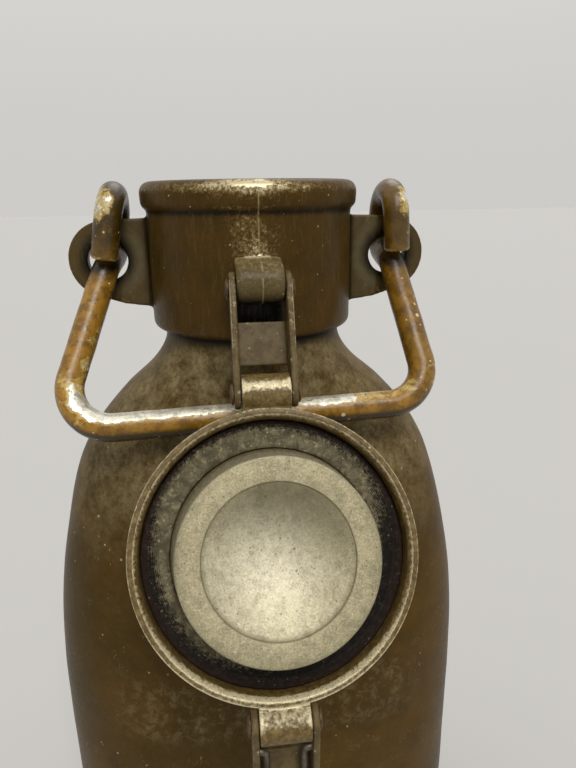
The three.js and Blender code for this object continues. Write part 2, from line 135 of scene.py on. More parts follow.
class Finish(Nodes):
    """A material whose patterns follow the object's own coordinates, in millimetres."""

    def __init__(self, name, colour):
        self.colour = colour
        self.material = bpy.data.materials.new(name)
        self.material.use_nodes = True
        super().__init__(self.material.node_tree)
        self.shader = self.tree.nodes["Principled BSDF"]
        node = self.node("VectorMath")
        node.operation = "SCALE"
        self.put(node.inputs[0], self.node("TexCoord").outputs["Object"])
        self.put(node.inputs["Scale"], 1 / MM)
        self.place = node.outputs["Vector"]

    def axis(self, letter):
        node = self.node("SeparateXYZ")
        self.put(node.inputs[0], self.place)
        return node.outputs[letter]

    def attribute(self, name):
        node = self.node("Attribute")
        node.attribute_name = name
        return node.outputs["Fac"]

    def stretched(self, stretch, turn=(0, 0, 0), shift=(0, 0, 0)):
        node = self.node("Mapping")
        node.vector_type = "TEXTURE"
        self.put(node.inputs["Vector"], self.place)
        node.inputs["Location"].default_value = shift
        node.inputs["Rotation"].default_value = [math.radians(a) for a in turn]
        node.inputs["Scale"].default_value = stretch
        return node.outputs[0]

    def noise(self, size, detail, rough, twist=0.0, place=None):
        """A cloud from 0 to 1 whose lumps are about size millimetres."""
        node = self.node("TexNoise")
        self.put(node.inputs["Vector"], place or self.place)
        node.inputs["Scale"].default_value = 1 / size
        node.inputs["Detail"].default_value = detail
        node.inputs["Roughness"].default_value = rough
        node.inputs["Distortion"].default_value = twist
        return node.outputs["Fac"]

    def turned(self, size, detail=4):
        """Fine rings about size millimetres apart, on a piece that stores its own radius."""
        node = self.node("TexNoise")
        node.noise_dimensions = "1D"
        self.put(node.inputs["W"], self.times(self.attribute("radius"), RADIUS_SCALE / size))
        node.inputs["Detail"].default_value = detail
        return node.outputs["Fac"]

    def spots(self, size, share, radius):
        """Scattered round flecks: cells of the given size, of which a share holds one."""
        node = self.node("TexVoronoi")
        self.put(node.inputs["Vector"], self.place)
        node.inputs["Scale"].default_value = 1 / size
        pick = self.node("SeparateColor")
        self.put(pick.inputs[0], node.outputs["Color"])
        chosen = self.cut(pick.outputs[0], 1 - share, 1 - share * 0.7)
        reach = self.times(pick.outputs[1], radius)
        inside = self.cut(self.less(reach, node.outputs["Distance"]), -0.02, 0.06)
        return self.times(inside, chosen)

    def scratches(self, size, turn, width, keep, shift=(0, 0, 0)):
        """Fine broken lines that run along local Z after the turn, about size long."""
        lined = self.stretched((size * 0.16, size * 0.16, size), turn, shift)
        node = self.node("TexVoronoi")
        node.feature = "DISTANCE_TO_EDGE"
        self.put(node.inputs["Vector"], lined)
        line = self.cut(node.outputs["Distance"], width, width * 0.3)
        broken = self.cut(self.noise(size * 0.5, 3, 0.6), keep, keep + 0.06)
        return self.times(line, broken)

    def blend(self, below, above, mask, kind="FLOAT"):
        node = self.node("Mix")
        node.data_type = kind
        self.put(node.inputs["Factor"], mask)
        self.put(node.inputs["A"], below)
        self.put(node.inputs["B"], above)
        return node.outputs["Result"]

    def over(self, below, above, mask):
        return self.blend(below, above, mask, "RGBA")

    def lay(self, colour, mask, strength=1.0):
        """Lays a colour over the finish where the mask is 1, and thinner for less strength."""
        self.colour = self.over(self.colour, colour, self.times(mask, strength))

    def bump(self, height, depth):
        """height is 0 to 1 and depth is its size in millimetres."""
        node = self.node("Bump")
        node.inputs["Distance"].default_value = depth * MM
        self.put(node.inputs["Height"], height)
        if self.shader.inputs["Normal"].is_linked:
            before = self.shader.inputs["Normal"].links[0].from_socket
            self.put(node.inputs["Normal"], before)
        self.put(self.shader.inputs["Normal"], node.outputs["Normal"])

    def finish(self, roughness, metallic=0.0, specular=0.5, coat=0.0):
        self.put(self.shader.inputs["Base Color"], self.colour)
        self.put(self.shader.inputs["Roughness"], roughness)
        self.put(self.shader.inputs["Metallic"], metallic)
        self.shader.inputs["Specular IOR Level"].default_value = specular
        if coat:
            self.shader.inputs["Coat Weight"].default_value = coat
            self.shader.inputs["Coat Roughness"].default_value = 0.25
        return self.material


# ---------- camera, light, floor
LENS, SENSOR_WIDTH = 29.0, 36
CAMERA_PLACE, YAW, PITCH, ROLL = Vector((-17.65, -277.7, 352.23)), 6.9, -17.16, -0.75
HORIZON, ZENITH, FRONT_DIMMING = 0.61, 0.95, 0.18  # the room's brightness
FLOOR_REACH, FLOOR_COLOUR = 12, (0.395, 0.389, 0.378, 1)  # the reach is in metres


def make_camera():
    yaw, pitch, roll = math.radians(YAW), math.radians(PITCH), math.radians(ROLL)
    level = Vector((math.sin(yaw), math.cos(yaw), 0))
    right = Vector((math.cos(yaw), -math.sin(yaw), 0))
    forward = level * math.cos(pitch) + Vector((0, 0, 1)) * math.sin(pitch)
    up = Vector((0, 0, 1)) * math.cos(pitch) - level * math.sin(pitch)
    across = right * math.cos(roll) + up * math.sin(roll)
    upward = up * math.cos(roll) - right * math.sin(roll)
    camera = bpy.data.objects.new("camera", bpy.data.cameras.new("camera"))
    camera.data.sensor_width = SENSOR_WIDTH
    camera.data.lens = LENS
    camera.data.clip_start = 0.01
    columns = Matrix((across, upward, -forward)).transposed().to_4x4()
    camera.matrix_world = Matrix.Translation(CAMERA_PLACE * MM) @ columns
    bpy.context.scene.collection.objects.link(camera)
    bpy.context.scene.camera = camera


def sun_light(name, azimuth, elevation, softness, strength, colour):
    """Even light from an azimuth that is 0 at the front and grows to the right."""
    data = bpy.data.lights.new(name, "SUN")
    data.angle = math.radians(softness)
    data.energy = strength
    data.color = colour
    light = bpy.data.objects.new(name, data)
    light.rotation_euler = (math.radians(90 - elevation), 0, math.radians(azimuth))
    bpy.context.scene.collection.objects.link(light)


def make_room():
    """A pale world that is brighter overhead, with a darker patch high up in front."""
    world = bpy.data.worlds.new("studio")
    bpy.context.scene.world = world
    world.use_nodes = True
    room = Nodes(world.node_tree)
    sky = room.tree.nodes["Background"]
    way = room.node("SeparateXYZ")
    room.put(way.inputs[0], room.node("TexCoord").outputs["Generated"])
    rise = room.cut(way.outputs["Z"], 0, 1, HORIZON, ZENITH)
    front = room.cut(way.outputs["Y"], -0.15, -0.6)
    raised = room.cut(way.outputs["Z"], 0.28, 0.55)
    patch = room.cut(room.times(front, raised), 0, 1, 1, FRONT_DIMMING)
    sky.inputs["Color"].default_value = (1, 0.985, 0.955, 1)
    room.put(sky.inputs["Strength"], room.times(rise, patch))


def make_floor():
    mesh = bpy.data.meshes.new("floor")
    reach = FLOOR_REACH
    corners = [(-reach, -reach, 0), (reach, -reach, 0), (reach, reach, 0), (-reach, reach, 0)]
    mesh.from_pydata(corners, [], [(0, 1, 2, 3)])
    floor = bpy.data.objects.new("floor", mesh)
    bpy.context.scene.collection.objects.link(floor)
    paper = bpy.data.materials.new("floor_paper")
    paper.use_nodes = True
    shader = paper.node_tree.nodes["Principled BSDF"]
    shader.inputs["Base Color"].default_value = FLOOR_COLOUR
    shader.inputs["Roughness"].default_value = 0.9
    mesh.materials.append(paper)


bpy.context.scene.view_settings.view_transform = "Standard"
make_camera()
make_room()
sun_light("key", azimuth=5, elevation=50, softness=24, strength=2.4, colour=(1, 0.98, 0.95))
sun_light("back_light", azimuth=160, elevation=55, softness=40, strength=0.9, colour=(0.97, 0.98, 1))
make_floor()


# ---------- finishes
DUST_BAND = 195, 255, 286, 302  # heights on the shoulder: starts, full from, full to, ends
SCUFF_BAND = 116, 128, 146, 158  # heights of the scuffs on the body's front
PARTING_X, PARTING_FOOT_Z = 0.6, 311  # the mould's parting line on the collar's front


def body_paint():
    olive, dark_olive, umber = (0.064, 0.0325, 0.0026), (0.042, 0.0225, 0.0016), (0.036, 0.02, 0.0026)
    dust_colour, bare_metal, dirt = (0.225, 0.178, 0.09), (0.36, 0.3, 0.17), (0.003, 0.002, 0.001)
    f = Finish("worn_body_paint", olive)
    fine = f.noise(2.2, 6, 0.7)
    f.lay(dark_olive, f.cut(f.noise(60, 5, 0.6), 0.38, 0.62))
    f.lay(umber, f.cut(f.noise(17, 5, 0.65), 0.45, 0.8))
    height = f.axis("Z")
    shoulder = f.band(height, *DUST_BAND)
    dust = f.times(f.cut(f.noise(11, 8, 0.78), 0.3, 0.66), f.plus(0.08, f.times(shoulder, 0.92)))
    dust = f.times(dust, f.cut(fine, 0.22, 0.62, 0.15, 1.0))
    f.lay(dust_colour, dust, 0.85)
    flecks = f.most(f.spots(5.5, 0.1, 0.15), f.spots(2.6, 0.1, 0.24), f.spots(12, 0.1, 0.09))
    patches = f.cut(f.noise(40, 3, 0.6), 0.4, 0.6)
    flecks = f.times(flecks, f.plus(0.3, f.times(patches, 0.7)))
    lines = f.most(
        f.scratches(30, (0, 25, 0), 0.01, 0.6),
        f.scratches(22, (0, -35, 10), 0.01, 0.62, (7, 3, 5)),
        f.scratches(34, (0, 80, 0), 0.008, 0.64, (2, 9, 1)))
    chipped = f.times(f.noise(4.0, 7, 0.75, 0.6), f.plus(0.9, f.times(patches, 0.14)))
    chips = f.cut(chipped, 0.685, 0.7)
    scuffed = f.times(f.band(height, *SCUFF_BAND), f.cut(f.axis("Y"), -48, -56))
    scuffs = f.times(f.cut(f.noise(5, 7, 0.78, 0.3), 0.47, 0.62), scuffed)
    worn = f.most(
        f.times(flecks, 0.8), f.times(lines, 0.6), f.times(chips, 0.7), f.times(scuffs, 0.15))
    f.lay(bare_metal, worn)
    # Painted shade: a near black band on the neck just under the collar's foot.
    f.lay(dirt, f.attribute("grime"))
    rough = f.plus(f.cut(fine, 0.2, 0.8, 0.3, 0.44), f.times(dust, 0.25))
    f.bump(f.noise(5, 4, 0.6), 0.1)
    f.bump(fine, 0.03)
    f.bump(worn, -0.05)
    return f.finish(f.most(rough, f.times(worn, 0.6)), specular=0.09)


def collar_paint():
    brown, dark_brown, grit_colour = (0.053, 0.0265, 0.0018), (0.037, 0.02, 0.0018), (0.115, 0.08, 0.026)
    oxide_colour, thin_paint, bare_metal = (0.098, 0.079, 0.04), (0.19, 0.135, 0.05), (0.56, 0.49, 0.31)
    dirt, streak_colour = (0.0015, 0.0012, 0.001), (0.1, 0.066, 0.018)
    parting_colour, scratch_colour = (0.3, 0.245, 0.12), (0.26, 0.2, 0.1)
    f = Finish("worn_collar_paint", brown)
    fine = f.noise(1.6, 6, 0.7)
    rub = f.attribute("wear")
    f.lay(dark_brown, f.cut(f.noise(14, 5, 0.6), 0.35, 0.68))
    oxide = f.times(f.attribute("chalk"), f.cut(f.noise(6, 6, 0.7), 0.25, 0.65, 0.55, 1.0))
    f.lay(oxide_colour, oxide)
    grit = f.cut(f.noise(0.7, 4, 0.8), 0.56, 0.68)
    f.lay(grit_colour, f.times(grit, f.plus(0.25, rub)))
    ragged = f.plus(f.times(f.noise(1.3, 6, 0.82), 1.7), f.times(f.noise(5, 6, 0.72), 0.8))
    edge = f.plus(rub, f.less(ragged, 1.25))
    thin = f.cut(edge, 0.34, 0.66)
    bare = f.cut(edge, 0.58, 0.86)
    flecks = f.most(f.spots(4.5, 0.12, 0.15), f.spots(2.0, 0.12, 0.24))
    f.lay(thin_paint, thin, 0.75)
    # Bare metal where worn, which on the bead's front middle also stands in as a painted highlight.
    f.lay(bare_metal, f.most(f.times(bare, 0.85), f.times(flecks, 0.45)))
    # Painted shade: near black behind the link, round the eyes, under the bead and at the lugs' roots.
    f.lay(dirt, f.attribute("grime"))
    streaks = f.noise(1.2, 5, 0.7, place=f.stretched((1, 1, 8)))
    f.lay(streak_colour, f.cut(streaks, 0.5, 0.72), 0.4)
    off_middle = f.math("ABSOLUTE", f.less(f.axis("X"), PARTING_X))
    parting = f.times(f.cut(off_middle, 0.42, 0.15), f.cut(f.axis("Y"), -41, -42))
    parting = f.times(parting, f.cut(f.axis("Z"), PARTING_FOOT_Z, PARTING_FOOT_Z + 3))
    parting = f.times(parting, f.cut(f.noise(3, 4, 0.7), 0.36, 0.5))
    f.lay(parting_colour, parting, 0.5)
    lines = f.most(
        f.scratches(16, (0, 60, 0), 0.012, 0.6), f.scratches(14, (0, 5, 30), 0.012, 0.6, (3, 1, 8)))
    f.lay(scratch_colour, lines, 0.5)
    f.bump(f.noise(2.6, 5, 0.65), 0.16)
    f.bump(fine, 0.04)
    f.bump(bare, -0.06)
    rough = f.cut(fine, 0.2, 0.8, 0.28, 0.44)
    return f.finish(rough, f.times(bare, 0.5), specular=0.12)


def bail_paint():
    ochre, dark_ochre, thin_paint = (0.265, 0.135, 0.0135), (0.14, 0.068, 0.007), (0.5, 0.36, 0.11)
    oily, stained, chip_colour = (0.034, 0.021, 0.0035), (0.045, 0.024, 0.004), (0.1, 0.065, 0.025)
    bright_metal, dull_metal, fleck_colour = (0.84, 0.79, 0.64), (0.4, 0.41, 0.355), (0.66, 0.58, 0.38)
    dirt = (0.002, 0.0015, 0.001)
    f = Finish("worn_bail_paint", ochre)
    rub = f.attribute("wear")
    ragged = f.noise(5, 7, 0.75, 0.4)
    f.lay(dark_ochre, f.cut(f.noise(5, 6, 0.72), 0.42, 0.6))
    # Painted shade with some soiling, dark and blotchy: the loops, the bar's underside, the right leg
    # and the rod's back.
    f.lay(oily, f.times(f.attribute("grime"), f.cut(f.noise(9, 6, 0.7), 0.1, 0.5)))
    f.lay(stained, f.cut(f.noise(3.2, 7, 0.78, 0.5), 0.58, 0.66), 0.8)
    edge = f.plus(rub, f.times(f.less(ragged, 0.5), 1.7))
    thin = f.cut(edge, 0.42, 0.62)
    bare = f.cut(edge, 0.66, 0.76)
    f.lay(thin_paint, thin, 0.75)
    metal = f.over(bright_metal, dull_metal, f.cut(f.noise(3, 5, 0.7), 0.4, 0.7))
    # Bare metal where worn, which on the bar's top and corners also stands in as a painted highlight.
    f.lay(metal, bare)
    chips = f.times(f.cut(f.noise(2.6, 6, 0.7, 0.5), 0.63, 0.66), f.times(f.cut(rub, 0.2, 0.6), 0.8))
    f.lay(chip_colour, chips)
    flecks = f.most(f.spots(4.0, 0.16, 0.26), f.spots(1.8, 0.1, 0.32))
    f.lay(fleck_colour, flecks, 0.75)
    # Painted shade: near black on the rod where it passes through the eyes.
    f.lay(dirt, f.attribute("soot"))
    f.bump(f.noise(1.6, 6, 0.75), 0.1)
    f.bump(ragged, 0.22)
    f.bump(bare, -0.1)
    f.bump(flecks, 0.08)
    rough = f.blend(f.cut(f.noise(3, 5, 0.7), 0.3, 0.7, 0.18, 0.36), 0.3, bare)
    return f.finish(rough, f.times(bare, 0.7), specular=0.35, coat=0.08)


def lay_plug_metal(f, grain, grit, rings, lines, sooty):
    """The bare inside of the lid: turned rings, grit, stains, scratches, a painted highlight and painted
    shade in the dish, and streaky painted shade on the plug's wall and in the groove.
    """
    tarnished, light_grain, ring_colour = (0.31, 0.275, 0.162), (0.62, 0.565, 0.39), (0.22, 0.19, 0.105)
    bright, dark_grit = (0.76, 0.71, 0.54), (0.16, 0.135, 0.07)
    pale_grit, shaded, stain_colour = (0.84, 0.79, 0.61), (0.125, 0.108, 0.055), (0.085, 0.07, 0.04)
    scratch_colour, soot_colour = (0.15, 0.13, 0.08), (0.06, 0.052, 0.03)
    f.lay(tarnished, f.cut(f.noise(9, 6, 0.65), 0.3, 0.7))
    f.lay(light_grain, f.cut(grain, 0.5, 0.66), 0.45)
    f.lay(ring_colour, f.cut(rings, 0.5, 0.64), 0.35)
    # Painted highlight: paler metal in the middle of the dish.
    f.lay(bright, f.times(f.attribute("bright"), f.cut(grain, 0.25, 0.75, 0.55, 1.0)))
    f.lay(dark_grit, f.cut(grit, 0.52, 0.66), 0.58)
    f.lay(pale_grit, f.cut(grit, 0.47, 0.36), 0.26)
    # Painted shade: darker metal inside the dish's edge, on the face's outer ring and over the dish's
    # upper side.
    f.lay(shaded, f.times(f.attribute("dull"), f.cut(f.noise(5, 6, 0.7), 0.2, 0.7, 0.75, 1.0)))
    stains = f.most(f.spots(3.0, 0.22, 0.2), f.spots(1.3, 0.2, 0.3), f.spots(6, 0.2, 0.1))
    f.lay(stain_colour, stains, 0.65)
    f.lay(scratch_colour, lines)
    f.lay(soot_colour, sooty)


def lid_paint(f, grit, rubbed):
    """The worn brown paint on the lid's rim, knuckles and outer side."""
    brown, thin_paint, dark_spot = (0.088, 0.052, 0.01), (0.175, 0.12, 0.04), (0.022, 0.014, 0.005)
    bright_metal, dull_metal = (0.6, 0.52, 0.33), (0.27, 0.225, 0.125)
    coat = f.over(brown, thin_paint, f.cut(f.noise(2.2, 6, 0.75), 0.42, 0.64))
    coat = f.over(coat, dark_spot, f.cut(f.noise(1.8, 6, 0.75, 0.6), 0.6, 0.66))
    shine = f.over(bright_metal, dull_metal, f.cut(grit, 0.5, 0.62))
    # Bare metal where worn through, which on the knuckles also stands in as a painted highlight.
    return f.over(coat, shine, f.most(rubbed, f.times(f.spots(2.4, 0.16, 0.3), 0.7)))


def lid_metal():
    pale_metal = (0.375, 0.33, 0.198)
    f = Finish("worn_lid_metal", pale_metal)
    painted = f.attribute("paint")
    grain = f.noise(1.6, 6, 0.75)
    rings = f.turned(0.8)
    grit = f.noise(0.6, 3, 0.8)
    lines = f.most(
        f.scratches(9, (75, 0, 25), 0.02, 0.52), f.scratches(7, (60, 0, -40), 0.02, 0.54, (4, 2, 6)))
    line_mask = f.times(lines, f.less(0.65, f.times(painted, 0.6)))
    streaks = f.plus(f.cut(rings, 0.4, 0.6), f.cut(f.noise(1.6, 6, 0.82), 0.4, 0.6))
    # Streaky painted shade on the plug's side wall and in the gasket's groove.
    sooty = f.times(f.attribute("soot"), f.cut(streaks, 0.6, 1.2, 0.1, 1.0))
    ragged = f.times(f.less(f.noise(1.2, 6, 0.82), 0.5), 2.0)
    rubbed = f.cut(f.plus(f.attribute("wear"), ragged), 0.4, 0.72)
    lay_plug_metal(f, grain, grit, rings, line_mask, sooty)
    f.lay(lid_paint(f, grit, rubbed), painted)
    f.bump(f.noise(0.7, 5, 0.7), 0.03)
    f.bump(grain, 0.07)
    f.bump(rings, 0.03)
    f.bump(grit, 0.04)
    f.bump(lines, -0.05)
    f.bump(f.times(rubbed, painted), -0.08)
    rough = f.blend(f.cut(grain, 0.3, 0.7, 0.46, 0.6), 0.46, painted)
    bare = f.blend(0.35, 0.0, f.times(painted, f.less(1.0, rubbed)))
    return f.finish(rough, f.times(bare, f.less(1.0, f.times(sooty, 0.8))), specular=0.4)


def gasket_rubber():
    black, dark_brown, red_edge = (0.004, 0.0028, 0.0016), (0.022, 0.013, 0.007), (0.042, 0.018, 0.011)
    oxide, pale_oxide, fleck_colour = (0.175, 0.15, 0.085), (0.36, 0.315, 0.185), (0.34, 0.31, 0.21)
    f = Finish("perished_gasket_rubber", black)
    fine = f.noise(0.8, 6, 0.75)
    rings = f.turned(0.9, 5)
    f.lay(dark_brown, f.cut(f.noise(1.8, 6, 0.8), 0.48, 0.66))
    f.lay(red_edge, f.times(f.attribute("edges"), f.cut(rings, 0.42, 0.6, 0, 0.7)))
    ragged = f.plus(f.times(f.less(f.noise(1.3, 6, 0.82), 0.5), 1.7), f.times(f.less(rings, 0.5), 0.9))
    bloom = f.cut(f.plus(f.attribute("chalk"), ragged), 0.52, 0.72)
    patchy = f.cut(f.noise(4.5, 6, 0.75, 0.4), 0.4, 0.62, 0.45, 1.0)
    powder = f.over(oxide, pale_oxide, f.cut(f.noise(2.4, 6, 0.8), 0.52, 0.64))
    f.lay(powder, f.times(bloom, f.times(patchy, 0.85)))
    flecks = f.most(f.spots(2.0, 0.24, 0.26), f.spots(0.9, 0.2, 0.3))
    flecks = f.times(flecks, f.plus(0.3, f.times(bloom, 0.7)))
    f.lay(fleck_colour, flecks, 0.8)
    f.bump(fine, 0.1)
    f.bump(rings, 0.16)
    f.bump(f.noise(2.6, 5, 0.7), 0.2)
    return f.finish(f.cut(fine, 0.2, 0.8, 0.5, 0.75), specular=0.18)


def hinge_steel():
    brown, dark_brown, rust_colour = (0.112, 0.08, 0.032), (0.068, 0.046, 0.016), (0.125, 0.062, 0.03)
    bare_metal, fleck_colour = (0.33, 0.275, 0.165), (0.4, 0.36, 0.26)
    f = Finish("worn_hinge_steel", brown)
    fine = f.noise(1.2, 6, 0.7)
    f.lay(dark_brown, f.cut(f.noise(5, 6, 0.7), 0.4, 0.62))
    rust = f.cut(f.noise(5, 6, 0.7, 0.3), 0.56, 0.68)
    f.lay(rust_colour, rust, 0.6)
    ragged = f.times(f.less(f.noise(2.8, 6, 0.72), 0.5), 1.4)
    edge = f.cut(f.plus(f.attribute("wear"), ragged), 0.42, 0.72)
    f.lay(bare_metal, edge)
    flecks = f.most(f.spots(2.4, 0.2, 0.28), f.spots(1.2, 0.14, 0.3))
    f.lay(fleck_colour, flecks, 0.5)
    f.bump(fine, 0.05)
    f.bump(f.noise(3, 5, 0.65), 0.12)
    return f.finish(f.cut(fine, 0.2, 0.8, 0.38, 0.56), f.times(edge, 0.4), specular=0.2)


def pin_steel():
    rust, dark_rust, bare_metal = (0.12, 0.07, 0.028), (0.05, 0.03, 0.014), (0.3, 0.26, 0.2)
    f = Finish("rusty_pin_steel", rust)
    fine = f.noise(0.9, 6, 0.75)
    f.lay(dark_rust, f.cut(f.noise(2.4, 6, 0.7), 0.35, 0.65))
    f.lay(bare_metal, f.cut(fine, 0.6, 0.72), 0.6)
    f.bump(fine, 0.07)
    return f.finish(f.cut(fine, 0.2, 0.8, 0.4, 0.65), metallic=0.25, specular=0.25)


def wire_steel():
    steel, dark_steel, rust = (0.16, 0.14, 0.1), (0.07, 0.058, 0.038), (0.12, 0.066, 0.034)
    f = Finish("dull_wire_steel", steel)
    fine = f.noise(0.8, 6, 0.75)
    f.lay(dark_steel, f.cut(f.noise(3, 6, 0.7), 0.38, 0.66))
    f.lay(rust, f.cut(f.noise(4, 6, 0.7), 0.58, 0.7), 0.7)
    f.bump(fine, 0.05)
    return f.finish(f.cut(fine, 0.2, 0.8, 0.32, 0.52), metallic=0.8)


# ---------- mesh shorthand


def piece(name, vertices, faces):
    """A mesh object from vertices in millimetres, with its faces turned outwards."""
    mesh = bpy.data.meshes.new(name)
    mesh.from_pydata([tuple(c * MM for c in v) for v in vertices], [], faces)
    work = bmesh.new()
    work.from_mesh(mesh)
    bmesh.ops.remove_doubles(work, verts=work.verts, dist=1e-6)
    bmesh.ops.recalc_face_normals(work, faces=work.faces)
    work.to_mesh(mesh)
    work.free()
    thing = bpy.data.objects.new(name, mesh)
    bpy.context.scene.collection.objects.link(thing)
    return thing


def rings_mesh(name, rings, closed_path=False):
    """Joins rings of equal length. An open stack gets a flat cap at each end."""
    count = len(rings[0])
    faces = []
    spans = len(rings) if closed_path else len(rings) - 1
    for i in range(spans):
        a, b = i * count, ((i + 1) % len(rings)) * count
        for j in range(count):
            k = (j + 1) % count
            faces.append((a + j, a + k, b + k, b + j))
    if not closed_path:
        faces.append(tuple(range(count)))
        faces.append(tuple((len(rings) - 1) * count + j for j in range(count)))
    return piece(name, [v for ring in rings for v in ring], faces)


def lathe(name, profile, around):
    """A closed [radius, height] outline turned about Z."""
    rings = []
    for r, z in profile:
        rings.append([(r * math.cos(TURN * j / around), r * math.sin(TURN * j / around), z)
                      for j in range(around)])
    return rings_mesh(name, rings, closed_path=True)


def arc(r, z, radius, start, end, steps=8):
    angles = [math.radians(start + (end - start) * i / steps) for i in range(steps + 1)]
    return [(r + radius * math.cos(a), z + radius * math.sin(a)) for a in angles]


def densify(points, step):
    """Adds points along the straight stretches of a closed outline."""
    dense = []
    for i, a in enumerate(points):
        b = points[(i + 1) % len(points)]
        count = max(1, round(math.dist(a, b) / step))
        dense += [tuple(p + (q - p) * k / count for p, q in zip(a, b)) for k in range(count)]
    return dense


def prism(name, outline, x0, x1, bevel=0.0):
    """A (y, z) outline as thick as the X range, with its edges rounded."""
    thing = rings_mesh(name, [[(x, y, z) for y, z in outline] for x in (x0, x1)])
    if bevel:
        round_edges(thing, bevel, 3)
    return thing


def apply_modifiers(thing):
    bpy.context.view_layer.update()
    shaped = thing.evaluated_get(bpy.context.evaluated_depsgraph_get())
    mesh = bpy.data.meshes.new_from_object(shaped)
    thing.modifiers.clear()
    old = thing.data
    thing.data = mesh
    bpy.data.meshes.remove(old)
    return thing


def round_edges(thing, width, segments):
    bevel = thing.modifiers.new("edges", "BEVEL")
    bevel.width = width * MM
    bevel.segments = segments
    bevel.limit_method = "ANGLE"
    bevel.angle_limit = math.radians(35)
    return apply_modifiers(thing)


def combine(thing, other, operation):
    cut = thing.modifiers.new("join", "BOOLEAN")
    cut.operation = operation
    cut.solver = "EXACT"
    cut.object = other
    apply_modifiers(thing)
    bpy.data.objects.remove(other)
    return thing


def union(thing, *others):
    for other in others:
        combine(thing, other, "UNION")
    return thing


def cast(thing, voxel, rounds):
    """Remeshes a joined solid finely and eases its corners, as a casting has."""
    remesh = thing.modifiers.new("cast", "REMESH")
    remesh.mode = "VOXEL"
    remesh.voxel_size = voxel * MM
    ease = thing.modifiers.new("ease", "SMOOTH")
    ease.factor = 0.5
    ease.iterations = rounds
    return apply_modifiers(thing)


def points_of(thing):
    co = np.zeros(len(thing.data.vertices) * 3)
    thing.data.vertices.foreach_get("co", co)
    return co.reshape(-1, 3) / MM


def move_points(thing, points):
    thing.data.vertices.foreach_set("co", (points * MM).ravel())
    thing.data.update()


def paint_points(thing, **layers):
    """Stores a value from 0 to 1 on each point, under each of the given names."""
    for name, values in layers.items():
        layer = thing.data.attributes.new(name, "FLOAT", "POINT")
        layer.data.foreach_set("value", np.clip(values, 0, 1).astype(np.float32))


def bell(x, middle, width):
    return np.exp(-((x - middle) / width) ** 2)


def step(x, low, high):
    t = np.clip((x - low) / (high - low), 0, 1)
    return t * t * (3 - 2 * t)


def uneven(points, size, seed):
    """A gentle wandering value from -1 to 1, the same on every run."""
    draw = np.random.default_rng(seed)
    total = np.zeros(len(points))
    waves = 7
    for _ in range(waves):
        way = draw.normal(size=3)
        way *= draw.uniform(0.6, 1.4) / (size * np.linalg.norm(way))
        total += np.sin(points @ way * TURN + draw.uniform(0, TURN))
    return total / waves ** 0.5 / 1.4


def dress(thing, material, body, slot, *nodes, smooth_angle=40):
    """Gives a piece its finish and its body, and lets it stand for its CAD nodes."""
    thing.data.materials.clear()
    thing.data.materials.append(material)
    thing.data.polygons.foreach_set("use_smooth", [True] * len(thing.data.polygons))
    if smooth_angle:
        thing.data.set_sharp_from_angle(angle=math.radians(smooth_angle))
    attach(thing, body)
    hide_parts(*nodes)
    return thing


# ---------- body
WIDTH_ROWS = [  # half width, height
    (BODY_HALF_WIDTH, 60), (BODY_HALF_WIDTH, SHOULDER_FOOT_Z), (95.9, 171), (90.6, 205), (82.8, 235),
    (72.5, 254), (59, 269.5), (46.8, 280), (40.6, 288), (NECK_R, NECK_FOOT_Z), (NECK_R, NECK_TOP_Z)]
DEPTH_ROWS = [  # half depth, height
    (BODY_HALF_DEPTH, 60), (BODY_HALF_DEPTH, SHOULDER_FOOT_Z), (60, 171), (55.5, 205), (48.5, 235),
    (43.5, 254), (39.6, 270), (38.5, 284), (NECK_R, NECK_FOOT_Z), (NECK_R, NECK_TOP_Z)]
STRAIGHT_Z = 60  # a height where the sides are straight
DENTS = [((62, -45, 120), 16, 1.1), ((-40, 60, 90), 20, 0.9)]  # centre, radius, depth
SKIN_INSET = 0.35  # keeps the uneven skin inside the CAD's


def smooth_row(rows, z):
    """A cubic through the rows, read off at a height."""
    z = min(max(z, rows[0][1]), rows[-1][1])
    i = max(k for k in range(len(rows) - 1) if rows[k][1] <= z)

    def slope(k):
        a, b = rows[max(k - 1, 0)], rows[min(k + 1, len(rows) - 1)]
        return (b[0] - a[0]) / (b[1] - a[1])

    (r0, z0), (r1, z1) = rows[i], rows[i + 1]
    h = z1 - z0
    t = (z - z0) / h
    return ((2 * t ** 3 - 3 * t ** 2 + 1) * r0 + (t ** 3 - 2 * t ** 2 + t) * h * slope(i)
            + (3 * t ** 2 - 2 * t ** 3) * r1 + (t ** 3 - t ** 2) * h * slope(i + 1))


def body_ring(z, inset, around=224):
    """The body's rounded-square outline at a height, which is a circle at the neck."""
    half_width = smooth_row(WIDTH_ROWS, z) - inset
    half_depth = smooth_row(DEPTH_ROWS, z) - inset
    share = np.clip((NECK_FOOT_Z - z) / (NECK_FOOT_Z - SHOULDER_FOOT_Z), 0, 1)
    power = 2 + (BODY_SQUARENESS - 2) * share * share * (3 - 2 * share)

    def squash(v):
        return np.sign(v) * np.abs(v) ** (2 / power)

    angles = np.arange(around) * TURN / around
    return [(half_width * squash(math.cos(a)), half_depth * squash(math.sin(a)), z) for a in angles]


